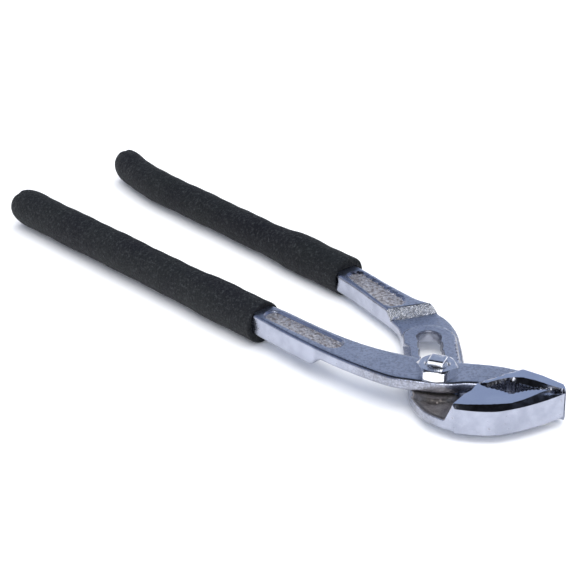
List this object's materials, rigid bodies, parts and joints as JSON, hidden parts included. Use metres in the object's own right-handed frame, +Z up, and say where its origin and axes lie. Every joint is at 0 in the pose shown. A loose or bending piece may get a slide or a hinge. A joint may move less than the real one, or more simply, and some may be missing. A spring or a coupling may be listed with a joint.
{
  "type": "water pump pliers",
  "caption": "Slip-joint pliers with angled toothed jaws, a long slotted plate with seats for the pivot bolt, and foam grips on both handles.",
  "frame": {"origin": "on the pivot bolt's axis, in the plane of the bolt head's flat face, on which the tool rests with both grips", "axes": "+X along the tool from the pivot to the jaw tips, +Y from the pivot towards the slotted half's handle, +Z up along the pivot bolt from its head to its nut"},
  "size_m": [0.2633, 0.0748, 0.0201],
  "materials": {
    "upper_half": "forged steel, satin chrome plate on the flats, polished jaw face",
    "lower_half": "forged steel, satin chrome plate on the flats, polished jaw face, rough forged step",
    "pivot_bolt": "bright plated steel",
    "pivot_nut": "bright plated steel",
    "upper_grip": "closed-cell foam with fine open pores",
    "lower_grip": "closed-cell foam with fine open pores"
  },
  "bodies": {
    "lower_half": {"lower_half": "lower_half", "lower_grip": "lower_grip"},
    "pivot": {"pivot_bolt": "pivot_bolt", "pivot_nut": "pivot_nut"},
    "upper_half": {"upper_half": "upper_half", "upper_grip": "upper_grip"}
  },
  "joints": [
    {"name": "slot_slide", "type": "slide", "parent": "lower_half", "child": "pivot", "axis": [-0.7071, 0.7071, 0], "range_m": [0, 0.0354]},
    {"name": "jaw_hinge", "type": "hinge", "parent": "pivot", "child": "upper_half", "pos_m": [0, 0, 0], "axis": [0, 0, 1], "range_deg": [0, 60]}
  ]
}
